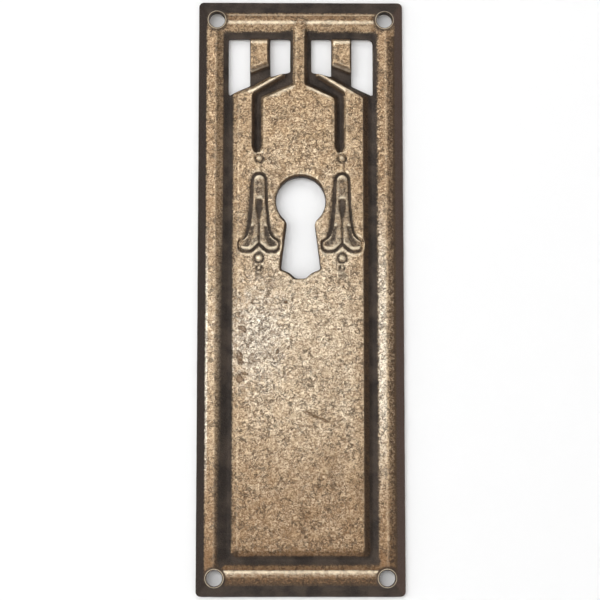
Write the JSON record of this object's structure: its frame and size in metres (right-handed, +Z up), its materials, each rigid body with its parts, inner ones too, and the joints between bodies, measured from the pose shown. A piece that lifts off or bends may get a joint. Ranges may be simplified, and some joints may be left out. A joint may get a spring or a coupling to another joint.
{
  "type": "keyhole escutcheon",
  "caption": "Tall stamped brass keyhole escutcheon with a raised rim, pierced windows at the top, a flared keyhole and bell-flower drops beside it.",
  "frame": {"origin": "centre of the keyhole's round head, on the back plane that lies on the door or drawer front", "axes": "+Z up along the plate, +X to the right of someone facing it, the decorated front faces -Y"},
  "size_m": [0.038, 0.0021, 0.1099],
  "materials": {
    "aged_brass": "antiqued: dark brown patina in the recesses and on the slopes, buffed mottled brass on the raised flats"
  },
  "bodies": {
    "root": {"escutcheon_plate": "aged_brass"}
  },
  "joints": []
}
